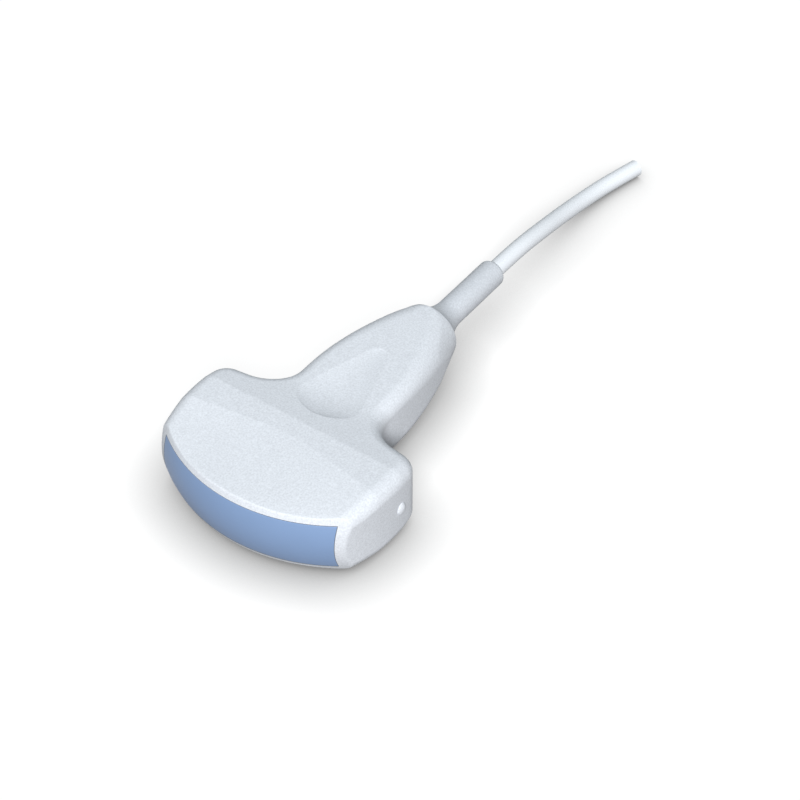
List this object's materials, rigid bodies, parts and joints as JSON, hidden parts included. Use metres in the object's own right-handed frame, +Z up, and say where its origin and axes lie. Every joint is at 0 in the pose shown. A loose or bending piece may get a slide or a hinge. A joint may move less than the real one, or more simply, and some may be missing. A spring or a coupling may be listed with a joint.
{
  "type": "ultrasound transducer probe",
  "caption": "Convex ultrasound probe with a wide curved blue lens, a tapering handle with a thumb recess, a strain relief boot and the start of its cable.",
  "frame": {"origin": "centre of the level band on the underside, where the probe rests", "axes": "+X along the lens to the marker side, +Y down the handle and the cable, +Z up from the resting face"},
  "size_m": [0.0827, 0.2456, 0.028],
  "materials": {
    "shell_plastic": "fine textured matte",
    "lens_silicone": "smooth blue silicone",
    "boot_rubber": "satin grey elastomer",
    "cable_jacket": "satin jacket",
    "matching_epoxy": "ground epoxy",
    "piezo_ceramic": "diced ceramic",
    "backing_epoxy": "filled black epoxy",
    "frame_plastic": "moulded",
    "spreader_metal": "milled",
    "flex_film": "polyimide film",
    "board_laminate": "solder mask",
    "plated_metal": "tinned sheet",
    "black_ferrite": "moulded ferrite",
    "wire_bundle": "bundled wires",
    "seal_rubber": "seal rubber"
  },
  "bodies": {
    "root": {"upper_shell": "shell_plastic", "lower_shell": "shell_plastic", "acoustic_lens": "lens_silicone", "orientation_marker": "shell_plastic", "outer_matching_layer": "matching_epoxy", "inner_matching_layer": "matching_epoxy", "piezo_elements": "piezo_ceramic", "backing_block": "backing_epoxy", "array_frame": "frame_plastic", "heat_spreader": "spreader_metal", "upper_flex_circuit": "flex_film", "lower_flex_circuit": "flex_film", "flex_connectors": "frame_plastic", "upper_interconnect_board": "board_laminate", "lower_interconnect_board": "board_laminate", "tuning_inductors": "black_ferrite", "upper_shield_can": "plated_metal", "lower_shield_can": "plated_metal", "board_spacers": "spreader_metal", "board_screws": "plated_metal", "upper_coax_bundle": "wire_bundle", "lower_coax_bundle": "wire_bundle", "shield_ferrule": "plated_metal", "upper_cable_clamp": "frame_plastic", "lower_cable_clamp": "frame_plastic", "clamp_screws": "plated_metal", "strain_relief": "boot_rubber", "boot_seal_ring": "seal_rubber", "gripped_cable": "cable_jacket", "cable": "cable_jacket"}
  },
  "joints": []
}
